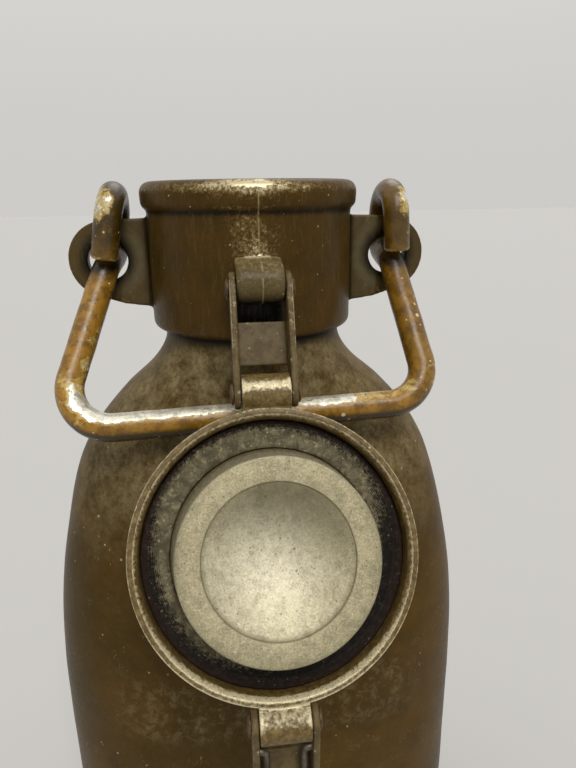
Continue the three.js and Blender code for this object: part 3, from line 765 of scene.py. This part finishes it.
def body_shell():
    edge = {SEAM_Z: 0.7, SEAM_Z + 0.15: 0.35, SEAM_Z + 0.5: 0.1}
    heights = list(edge) + list(np.arange(SEAM_Z + 2, SHOULDER_FOOT_Z, 3.0))
    heights += list(np.arange(SHOULDER_FOOT_Z, 300, 1.5)) + list(np.arange(300, NECK_TOP_Z + 0.1, 2.0))
    outer = [body_ring(z, edge.get(z, 0.0)) for z in heights]
    inner = [body_ring(z, BODY_WALL) for z in reversed(heights)]
    shell = rings_mesh("body_skin", outer + inner, closed_path=True)
    co = points_of(shell)
    z = co[:, 2]
    away = co * [1, 1.6, 0]
    away /= np.linalg.norm(away, axis=1, keepdims=True)
    bulge = 0.3 * uneven(co, 85, 3) + 0.12 * uneven(co, 30, 4) - SKIN_INSET
    for centre, radius, depth in DENTS:
        bulge -= depth * bell(np.linalg.norm(co - centre, axis=1), 0, radius)
    fade = step(z, 26, 45) * step(z, 300, 280)
    move_points(shell, co + away * (bulge * fade)[:, None])
    # Painted shade: a dark band on the neck just under the collar's foot.
    paint_points(shell, grime=0.95 * step(z, 292.8, 295.6))
    return dress(shell, BODY, "vessel", "body_paint", "body_shell")


def base_pan():
    """A pan whose lip goes up inside the body. Each point is (inset, height)."""
    lip = BODY_WALL + GAP
    inside = lip + BODY_WALL
    middle = 40
    outer = [(middle, 0), (26, 0)]
    outer += [(BASE_CORNER - r, BASE_CORNER + z) for r, z in arc(0, 0, BASE_CORNER, 270, 360, 12)]
    outer += [(0, 17), (0, SEAM_Z - 1), (0.2, SEAM_Z - GAP)]
    outer += [(lip, SEAM_Z - GAP), (lip, SEAM_Z + SEAM_LAP)]
    inner = [(inside, SEAM_Z + SEAM_LAP), (inside, BASE_CORNER), (inside + 3, 5),
             (BASE_CORNER, BODY_WALL), (middle, BODY_WALL)]
    rings = []
    for inset, height in outer + inner:
        rings.append([(x, y, height) for x, y, _ in body_ring(STRAIGHT_Z, inset)])
    pan = rings_mesh("base_skin", rings)
    return dress(pan, BODY, "vessel", "body_paint", "base_pan")


# ---------- neck collar


def collar_ring():
    foot = arc(COLLAR_R - 3, COLLAR_FOOT_Z + 3, 3, 270, 360)
    bead = arc(BEAD_R - 4.6, RIM_Z - 4.6, 4.6, 0, 90) + arc(MOUTH_R + 2.2, RIM_Z - 2.2, 2.2, 90, 180)
    under = arc(BEAD_R - 3.4, BEAD_FOOT_Z + 3.2, 3.2, -70, -8, 4)
    seat = NECK_R + GAP
    profile = foot + [(COLLAR_R, 320), (COLLAR_R, BEAD_FOOT_Z - 0.6)] + under + bead
    profile += [(MOUTH_R, NECK_TOP_Z + GAP), (seat, NECK_TOP_Z + GAP), (seat, COLLAR_FOOT_Z)]
    return lathe("collar_skin", densify(profile, 3), 144)


def eye_arm(side):
    """A drilled lug that stands out from the ring, as wide as the ring is tall at its root."""
    half = EYE_THICKNESS / 2
    outline = [(COLLAR_R - 3, ARM_FOOT_Z), (EYE_X - 6, ARM_FOOT_Z + 2)]
    outline += arc(EYE_X, EYE_Z, EYE_R, -72, 90, 20) + [(COLLAR_R - 3, ARM_TOP_Z)]
    arm = rings_mesh("arm", [[(side * x, y, z) for x, z in outline] for y in (-half, half)])
    circle = arc(0, 0, EYE_HOLE_R - 0.5, 0, 360, 48)[:-1]
    drill = [[(side * EYE_X + a, y, EYE_Z - 0.4 + b) for a, b in circle]
             for y in (-EYE_THICKNESS, EYE_THICKNESS)]
    return combine(arm, rings_mesh("drill", drill), "DIFFERENCE")


def hinge_knuckle():
    z, root = NECK_PIN_Z + BARREL_RISE, -COLLAR_R + 3
    outline = [(root, z + KNUCKLE_R + 2.2)] + arc(NECK_PIN_Y, z, KNUCKLE_R, 90, 270, 20)
    outline += [(root, z - KNUCKLE_R)]
    return prism("knuckle", outline, -KNUCKLE_WIDTH / 2, KNUCKLE_WIDTH / 2, 1.1)


def catch_nose():
    y, z = WIRE_SEAT_Y, WIRE_SEAT_Z
    outline = [(COLLAR_R - 3, z + 2.1), (y, z + 2.1), (y + 2, z + 0.9), (y + 2.3, z - 2),
               (y + 5.3, z - 2), (y + 5.3, z + 4.5), (y, z + 12), (COLLAR_R - 3, z + 12)]
    return prism("catch", outline, -CATCH_WIDTH / 2, CATCH_WIDTH / 2)


def raise_parting_line(ring):
    co = points_of(ring)
    x, y, z = co.T
    radius = np.hypot(x, y)
    ridge = 0.35 * bell(x, PARTING_X, 0.9) * step(z, 300, 304) * step(z, 346, 343)
    y -= ridge * (y < 0) * (radius > COLLAR_R - 2) * (radius < COLLAR_R + 1.5)
    move_points(ring, co)


def collar_wear(x, y, z, radius, hole):
    """Bare metal on the bead's crest, down the collar's front and on the knuckle and lugs; on the bead's
    front middle it also stands in as a painted highlight.
    """
    front, on_bead = y < 0, radius > 42
    crest = bell(z, 354.8, 2.6) * on_bead * (0.38 + 0.17 * bell(x, -5, 26) * front)
    seam = bell(x, -3, 14) * (radius < COLLAR_R + 2) * front * step(z, 312, 342) * 0.4
    # A bare patch on the bead's front middle, which also stands in as a painted highlight.
    seam += bell(x, 0, 20) * front * bell(z, 352, 3.8) * on_bead * 0.32
    barrel = (np.abs(x) < 9.5) * (y < -44) * (z < 337) * (0.33 + 0.2 * bell(z, 329, 3.0))
    barrel += bell(np.hypot(x, (z - 333) * 1.3), 0, 9) * (y < -42) * (y > -45) * 0.25
    lugs = (np.abs(x) > 50) * step(hole, 13.8, 16) * 0.34
    foot = bell(z, 299.5, 1.6) * 0.25
    return crest + seam + barrel + lugs + foot


def collar_grime(x, y, z, radius, hole):
    """Painted shade behind the link, in and round the eyes, under the bead and at the lugs' roots."""
    off = np.abs(x)
    behind_link = step(off, 10.5, 8) * step(z, 298, 302) * step(z, 317, 313.5) * (y < -41)
    around_hole = (off > 48) * step(hole, 14, EYE_HOLE_R) * 0.9
    on_wall = (radius > COLLAR_R - 1.5) * (radius < BEAD_R - 1.2)
    under_bead = bell(z, BEAD_FOOT_Z - 0.5, 1.0) * on_wall * 0.9
    lug_root = (off > 42) * bell(radius, COLLAR_R + 0.5, 1.6) * step(np.abs(y), 7, 4) * 0.7
    lug_root *= step(z, ARM_FOOT_Z - 1, ARM_FOOT_Z + 2) * step(z, ARM_TOP_Z + 1, ARM_TOP_Z - 1)
    return np.maximum.reduce([behind_link, around_hole, under_bead, lug_root])


def collar_chalk(x, y, z, hole):
    """Grey oxide on the knuckle and on the faces of the lugs."""
    off = np.abs(x)
    knuckle = (off < 9.2) * step(-y, 43.8, 46) * (z < 337) * 0.7
    return knuckle + (off > 45) * step(hole, 18, 14) * 0.45 + (off > 45) * (off < 56) * 0.5


def neck_collar():
    solid = union(collar_ring(), eye_arm(-1), eye_arm(1), hinge_knuckle(), catch_nose())
    ring = cast(solid, 0.8, 5)
    raise_parting_line(ring)
    x, y, z = points_of(ring).T
    radius = np.hypot(x, y)
    hole = np.hypot(np.abs(x) - EYE_X, z - EYE_Z)
    paint_points(ring, wear=collar_wear(x, y, z, radius, hole),
                 grime=collar_grime(x, y, z, radius, hole), chalk=collar_chalk(x, y, z, hole))
    return dress(ring, COLLAR, "vessel", "collar_paint", "neck_collar", smooth_angle=0)


# ---------- bail


def bent_path(corners, radii, spacing):
    """Points along straight runs joined by round bends."""
    path = [corners[0]]
    for before, corner, after, radius in zip(corners, corners[1:], corners[2:], radii):
        inward, outward = (before - corner).normalized(), (after - corner).normalized()
        turn = math.pi - inward.angle(outward)
        reach = radius * math.tan(turn / 2)
        middle = corner + (inward + outward).normalized() * radius / math.cos(turn / 2)
        start = corner + inward * reach - middle
        normal = start.cross(corner + outward * reach - middle)
        count = max(3, round(radius * turn / spacing))
        path += [middle + Matrix.Rotation(turn * k / count, 3, normal) @ start for k in range(count + 1)]
    return path + [corners[-1]]


def spaced(path, spacing):
    """The same path with points about spacing apart."""
    even = [path[0]]
    for a, b in zip(path, path[1:]):
        count = max(1, round((b - a).length / spacing))
        even += [a.lerp(b, k / count) for k in range(1, count + 1)]
    return even


def sweep(name, path, radius, sides):
    """A round rod along a path."""
    tangents = []
    for i in range(len(path)):
        tangents.append((path[min(i + 1, len(path) - 1)] - path[max(i - 1, 0)]).normalized())
    normal = tangents[0].orthogonal().normalized()
    rings = []
    for i, (point, tangent) in enumerate(zip(path, tangents)):
        if i:
            normal = (tangents[i - 1].rotation_difference(tangent) @ normal).normalized()
        side = tangent.cross(normal)
        rings.append([point + (normal * math.cos(TURN * j / sides)
                               + side * math.sin(TURN * j / sides)) * radius for j in range(sides)])
    return rings_mesh(name, rings)


def bail_end(side):
    """The corners of one half, from the loop's tip through the eye to the bar."""
    return [Vector(p) for p in (
        (side["tip"], -LOOP_HALF_DEPTH, side["end"]),
        (side["top"], -LOOP_HALF_DEPTH, LOOP_TOP_Z),
        (side["top"], LOOP_HALF_DEPTH, LOOP_TOP_Z),
        (side["back"], LOOP_HALF_DEPTH, EYE_Z + 1.6),
        (side["front"], -6.8, EYE_Z - 3.6),
        (side["corner"], BAR_Y, side["z"]))]


def paint_bail(rod, away, from_tip):
    """Bare metal on worn places, which on the bar's top and corners also stands in as a painted
    highlight; painted shadow below, painted shade and soiling on the loops, and painted shade at the
    eyes.
    """
    x, y, z = points_of(rod).T
    across, along, upward = away.T
    out, tilted = np.sign(x) * across, upward * 0.8 - along * 0.6
    bar, left_corner = step(z, 292, 278), bell(np.hypot(x + 76, z - 272), 0, 20)
    # Bare metal on the bar's top and the corners' upper sides, which also stands in as a painted
    # highlight.
    wear = bar * step(upward, 0.35, 0.8) * 0.98
    wear *= 0.45 + 0.55 * np.maximum(bell(x, -32, 34), bell(x, 26, 14))
    wear += left_corner * step(tilted, -0.5, 0.7) * 0.5
    wear += bell(np.hypot(x - 68, z - 277), 0, 17) * step(across + upward * 0.4, 0.0, 0.9) * 0.5
    facing = np.where(x < 0, out * 0.7 + 0.3, out) * 0.7 - along * 0.5 + upward * 0.3
    wear += bell(z, 349, 8) * step(facing, 0.15, 0.85) * (y < 3) * 0.78
    wear += bell(from_tip, 0.4, 1.2) * 0.62
    wear += bell(z, 300, 22) * step(-out, 0.2, 0.9) * np.where(x < 0, 0.46, 0.05)
    # Painted shadow on the bar's underside and under the left corner; painted shade and soiling on the
    # loops, the left one darker; the right leg and the rod's back side made darker.
    grime = step(z, 318, 338) * np.where(x < 0, 0.95, 0.5) + step(-upward, -0.05, 0.5) * bar * 1.3
    grime += step(x, 55, 62) * 0.28 + step(along, 0.2, 0.8) * 0.5
    grime += left_corner * step(-tilted, 0.2, 0.8) * 0.5
    # Painted shade on the rod's front where it passes through the eyes.
    soot = bell(z, EYE_Z - 2.5, 3.2) * (y < -2) * (from_tip > 25) * step(tilted, -0.4, 0.6) * 0.95
    paint_points(rod, wear=wear, grime=grime, soot=soot)


def bail_handle():
    around, spacing, rounding = 40, 0.9, 0.7
    loop_radii = [LOOP_HALF_DEPTH - 0.1, LOOP_HALF_DEPTH - 0.1, 7.5, 9]
    radii = loop_radii + [BAIL_CORNER_R] * 2 + loop_radii[::-1]
    corners = bail_end(BAIL_LEFT) + bail_end(BAIL_RIGHT)[::-1]
    path = spaced(bent_path(corners, radii, spacing), spacing)
    rod = sweep("bail_skin", path, ROD_R, around)
    co = points_of(rod)
    away = (co - np.array(path).repeat(around, axis=0)) / ROD_R
    along = np.cumsum([0] + [(b - a).length for a, b in zip(path, path[1:])]).repeat(around)
    from_tip = np.minimum(along, along[-1] - along)
    shrink = rounding * (1 - step(from_tip, 0, rounding))
    shrink += 0.1 * uneven(co, 26, 11) + 0.05 * uneven(co, 9, 12)
    co = co - away * np.maximum(shrink, -0.1)[:, None]
    move_points(rod, co)
    paint_bail(rod, away, from_tip)
    return dress(rod, BAIL, "bail", "bail_paint", "bail_handle")


# ---------- hinge, pins, latch


def swung(thing, y, z, angle):
    """Moves a piece drawn hanging from the origin to its pin, tipped towards the front."""
    turn = Matrix.Rotation(-angle, 4, "X")
    thing.data.transform(Matrix.Translation((0, y * MM, z * MM)) @ turn)
    return thing


def side_plates(name, length, end_radius):
    outline = arc(0, 0, PLATE_END_R, 0, 180, 24) + arc(0, -length, end_radius, 180, 360, 24)
    outline = densify(outline, 4)
    return [prism(name, outline, x0, x0 + PLATE, 0.55) for x0 in (PLATE_INNER, -PLATE_INNER - PLATE)]


def channel(name, length, end_radius, web_from, web_to):
    """Two side plates joined by a web along their front edges."""
    right, left = side_plates(name, length, end_radius)
    back, front = PLATE_END_R - 2, PLATE_END_R
    outline = [(back, -web_to), (front, -web_to), (front, -web_from), (back, -web_from)]
    return union(right, left, prism("web", outline, -PLATE_INNER - 1, PLATE_INNER + 1, 0.4))


def hinge_link():
    link = cast(channel("link_skin", LINK_LENGTH, LINK_FOOT_R, 11.5, 28), 0.45, 3)
    x, y, _ = points_of(link).T
    edges = 0.62 * step(np.abs(x), 11.0, 11.5) * step(-y, 3.5, 6.2)
    paint_points(link, wear=edges + 0.42 * step(-y, 5.2, 6.2))
    swung(link, NECK_PIN_Y, NECK_PIN_Z, LINK_REST)
    return dress(link, HINGE, "link", "link_steel", "hinge_link", smooth_angle=0)


def riveted_pin(name, y, z, body, node):
    """A pin with a domed, slightly hammered head at each end."""
    around, head_foot = 40, 0.35
    outer = PLATE_INNER + PLATE + GAP
    half = [(PIN_R, 0.0), (PIN_R, outer), (PIN_HEAD_R, outer), (PIN_HEAD_R, outer + head_foot)]
    half += [(PIN_HEAD_R * math.cos(a), outer + head_foot + (PIN_HEAD - head_foot) * math.sin(a))
             for a in np.linspace(0.2, 1.45, 7)]
    half += [(0.3, outer + PIN_HEAD)]
    rings = []
    for r, x in [(r, -x) for r, x in reversed(half)] + half[1:]:
        rings.append([(x, y + r * math.cos(TURN * j / around), z + r * math.sin(TURN * j / around))
                      for j in range(around)])
    pin = rings_mesh(name, rings)
    return dress(pin, PIN, body, "pin_steel", node)


def latch_lever(y, z):
    """A channel on the lid's lower pin, with a thumb tab bent out at its end."""
    end, back, front = LEVER_LENGTH, PLATE_END_R - 2, PLATE_END_R
    tab = [(front, -30), (front, -end - 2), (front + 5, -end - 8),
           (front + 3.5, -end - 9), (back, -end - 2), (back, -30)]
    lever = channel("lever_skin", end, back, 17, end)
    lever = cast(union(lever, prism("tab", tab, -PLATE_INNER, PLATE_INNER)), 0.45, 3)
    off, outward, drop = (points_of(lever) * [1, -1, -1]).T
    edges = 0.6 * step(np.abs(off), 11.0, 11.5) * step(outward, 3.0, 6.0)
    paint_points(lever, wear=edges + 0.45 * step(drop, 50, 53))
    swung(lever, y, z, 0)
    return dress(lever, HINGE, "lever", "link_steel", "latch_lever", smooth_angle=0)


def latch_stirrup(y, z):
    width, end = STIRRUP_HALF_WIDTH, PLATE_INNER + PLATE
    corners = [(-end, 0), (-width, 0), (-width, -STIRRUP_LENGTH), (width, -STIRRUP_LENGTH),
               (width, 0), (end, 0)]
    corners = [Vector((x, y, z + drop)) for x, drop in corners]
    path = spaced(bent_path(corners, [1.7, 3.5, 3.5, 1.7], 0.4), 0.7)
    wire = sweep("stirrup_skin", path, WIRE_R, 20)
    return dress(wire, WIRE, "stirrup", "wire_steel", "latch_stirrup")


# ---------- lid


def hang_lid(thing):
    """Takes a piece drawn on the closed lid's own axis to where the lid hangs open."""
    out = Matrix.Translation((0, LID_PIN_OUT * MM, -LID_PIN_UP * MM))
    turn = Matrix.Rotation(math.radians(270) - LID_REST, 4, "X")
    place = Matrix.Translation((0, LINK_FOOT_Y * MM, LINK_FOOT_Z * MM))
    thing.data.transform(place @ turn @ out)
    return thing


def dish(drop, rows=14):
    """The plug's dished face from its middle outwards, raised by drop."""
    sphere = (DISH_R ** 2 + DISH_DEPTH ** 2) / (2 * DISH_DEPTH)
    crown = PLUG_FACE + DISH_DEPTH
    points = [(0.02, crown + drop)]
    for i in range(1, rows + 1):
        r = DISH_R * i / rows
        points.append((r, crown - sphere + math.sqrt(sphere ** 2 - r ** 2) + drop))
    return points


def lid_profile():
    """The outline from the dish over the plug, the groove, the rim and the back."""
    face, inner_root = PLUG_FACE, PLUG_ROOT_R - PLUG_WALL
    plug = dish(0)[:-1] + [(DISH_R - 0.15, face + 0.75), (DISH_R + 0.1, face + 0.12)]
    plug += [(DISH_R + 0.5, face), (30, face - 0.1)]
    plug += arc(PLUG_FACE_R - 0.8, face + 0.8, 0.8, 270, 350, 5)
    plug += [(PLUG_ROOT_R - 0.9, GASKET_UNDER - 6), (PLUG_ROOT_R, GASKET_UNDER)]
    groove = [(PLUG_ROOT_R, LID_FLOOR), (CAVITY_R, LID_FLOOR), (CAVITY_R, GASKET_UNDER - 1)]
    bevel = [(CAVITY_R + 0.05, 2.1), (LIP_R - 0.1, 1.3), (BEVEL_R - 0.25, 0.32), (BEVEL_R, 0.08)]
    rim = [(BEVEL_R + 0.3, 0), (BEVEL_R + 0.8, 0), (LID_R - 0.8, 0), (LID_R - 0.25, 0.2)]
    rim += [(LID_R, 0.9), (LID_R, 3)]
    back = arc(LID_R - 6, LID_TOP - 6, 6, 0, 90, 12)
    back += [(inner_root + 2, LID_TOP), (inner_root + 0.6, LID_TOP - 0.25), (inner_root, LID_TOP - 1)]
    back += [(PLUG_FACE_R - PLUG_WALL, face + PLUG_WALL + 1.4)] + dish(PLUG_WALL)[::-1]
    return plug + groove + bevel + rim + back


def lid_knuckle(side):
    """A barrel flush with the rim, sliced across so that its worn bands, partly a painted highlight, can
    follow the slices.
    """
    half, radius = KNUCKLE_WIDTH / 2, KNUCKLE_R - 0.5
    out, root = side * LID_PIN_OUT, side * (LID_R - 2.6)
    past = math.degrees(math.asin((LID_PIN_UP - 0.3) / radius))
    flush, top = (root, 0.3), (root, LID_PIN_UP + radius)
    if side < 0:
        outline = [flush, top] + arc(out, LID_PIN_UP, radius, 90, 360 - past, 36)
    else:
        outline = arc(out, LID_PIN_UP, radius, -180 + past, 90, 36) + [top, flush]
    knuckle = prism("lid_knuckle", outline, -half, half, 0.5)
    work = bmesh.new()
    work.from_mesh(knuckle.data)
    for share in (-0.84, -0.6, -0.3, 0, 0.3, 0.6, 0.84):
        everything = work.verts[:] + work.edges[:] + work.faces[:]
        bmesh.ops.bisect_plane(
            work, geom=everything, plane_co=(share * half * MM, 0, 0), plane_no=(1, 0, 0))
    work.to_mesh(knuckle.data)
    work.free()
    return knuckle


def rim_wear(y, z, r):
    """Bare metal on the rim's two edges, its lower side and the back's round corner."""
    edges = 0.66 * bell(r, LID_R - 0.2, 0.5) * (z < 1.6) + 0.62 * bell(r, BEVEL_R, 0.35) * (z < 2)
    edges += 0.22 * (r < BEVEL_R) * (r > 47) * (z < 2.2)
    edges += 0.35 * bell(r, LID_R - 2, 2.4) * (z > LID_TOP - 5)
    return edges + 0.4 * step(y, 12, 46) * (z < 1.6) * step(r, 46.9, 47.4)


def knuckle_wear(x, y, z):
    """Bare metal round the barrels, by the angle round their pins, in bands that also stand in as a
    painted highlight.
    """
    outward, upward = np.abs(y) - LID_PIN_OUT, z - LID_PIN_UP
    around = np.degrees(np.arctan2(upward, outward))
    over_pin = 0.3 * bell(around, 90, 50)
    top = 0.84 * bell(around, -72, 22) + 0.6 * bell(around, 0, 16) + over_pin
    bottom = 0.6 * step(outward, 2.0, -2.0) * step(upward, 4, -4) + over_pin
    return np.where(y < 0, top, bottom) + 0.4 * bell(np.abs(x), KNUCKLE_WIDTH / 2, 1.0)


def paint_lid(lid):
    x, y, z = points_of(lid).T
    r = np.hypot(x, y)
    on_wall = (r > PLUG_FACE_R - 0.2) * (r < 38)
    on_knuckle = step(np.abs(y) - LID_R, -0.6, 0.6) * (np.abs(x) < KNUCKLE_WIDTH) > 0.5
    wall = step(r, PLUG_FACE_R - 0.3, PLUG_FACE_R + 0.1) * (r < 38) * (z < 8)
    groove = (r > 36) * (r < 47.2) * (z > 2.3)
    in_dish = step(r, DISH_R + 0.2, DISH_R - 0.1) * (z < 0)
    # Painted shade: a dark line just inside the dish's edge, a darker outer ring on the plug's face, and
    # the dish's upper side darker.
    dish_line = bell(r, DISH_R - 0.1, 0.35) * (z < 0) * 0.75
    face_edge = step(r, 31.5, 34.2) * (r < 35) * (z < -10) * 0.35
    sheltered = step(-y + 0.3 * x, -12, DISH_R) ** 1.3
    paint_points(
        lid,
        radius=(r + 0.55 * on_wall * (z - PLUG_FACE)) / RADIUS_SCALE,
        paint=np.maximum(step(r, 46.9, 47.15), step(z, 2, 4) * step(r, 30, 33)),
        # Bare metal on the rim's edges, and on the knuckles in bands that also stand in as a painted
        # highlight.
        wear=np.where(on_knuckle, knuckle_wear(x, y, z), rim_wear(y, z, r)),
        # Painted shade on the plug's side wall and in the gasket's groove.
        soot=wall * (0.85 + 0.15 * step(z, -9, 0)) + groove * 0.8,
        # Painted highlight in the middle of the dish.
        bright=in_dish * bell(np.hypot(x + 3, y - 1), 0, 19),
        dull=np.maximum(dish_line + face_edge, in_dish * 0.88 * sheltered))


def lid_cap():
    lid = union(lathe("lid_skin", lid_profile(), 256), lid_knuckle(-1), lid_knuckle(1))
    paint_lid(lid)
    hang_lid(lid)
    return dress(lid, LID, "lid", "lid_metal", "lid_cap", smooth_angle=32)


def lid_gasket():
    """A ring with rounded edges and the track that the bead has pressed in it."""
    inner, outer = PLUG_ROOT_R + GAP, CAVITY_R - GAP
    face, top, edge = GASKET_UNDER, LID_FLOOR - GAP, 0.9
    across, rows = outer - inner, 24
    profile = [(inner, top), (inner, face + edge)]
    for t in [i / rows for i in range(1, rows)]:
        crown = edge - edge * math.sin(math.pi * t) ** 0.5
        pressed = 0.55 * math.exp(-((t - 0.52) / 0.22) ** 2)
        profile.append((inner + across * t, face + crown + pressed))
    profile += [(outer, face + edge), (outer, top)]
    ring = lathe("gasket_skin", profile, 320)
    co = points_of(ring)
    x, y, z = co.T
    r = np.hypot(x, y)
    chalk = 0.18 + 0.66 * step(-y, -10, 34) * bell(r, 41, 4.5) + 0.34 * bell(r, 38, 2.0)
    chalk += 0.42 * step(x, 10, -30) * bell(r, 40, 4)
    edges = bell(r, outer, 2.2) + 0.6 * bell(r, inner, 1.5)
    paint_points(ring, chalk=chalk, edges=edges, radius=r / RADIUS_SCALE)
    free = (z < face + 1.2) & (z < top - 0.5)
    z += np.where(free, np.abs(0.22 * uneven(co, 15, 21) + 0.12 * uneven(co, 4.5, 22)), 0)
    move_points(ring, co)
    hang_lid(ring)
    return dress(ring, RUBBER, "lid", "gasket_rubber", "lid_gasket", smooth_angle=60)


# ---------- the canteen
BODY, COLLAR, BAIL = body_paint(), collar_paint(), bail_paint()
LID, RUBBER, HINGE = lid_metal(), gasket_rubber(), hinge_steel()
PIN, WIRE = pin_steel(), wire_steel()

body_shell()
base_pan()
neck_collar()
bail_handle()
hinge_link()
riveted_pin("neck_pin_skin", NECK_PIN_Y, NECK_PIN_Z, "link", "neck_hinge_pin")
riveted_pin("lid_pin_skin", LINK_FOOT_Y, LINK_FOOT_Z, "link", "lid_hinge_pin")
riveted_pin("latch_pin_skin", LATCH_Y, LATCH_Z, "lever", "latch_pin")
lid_cap()
lid_gasket()
latch_lever(LATCH_Y, LATCH_Z)
latch_stirrup(LATCH_Y, LATCH_Z - STIRRUP_DROP)
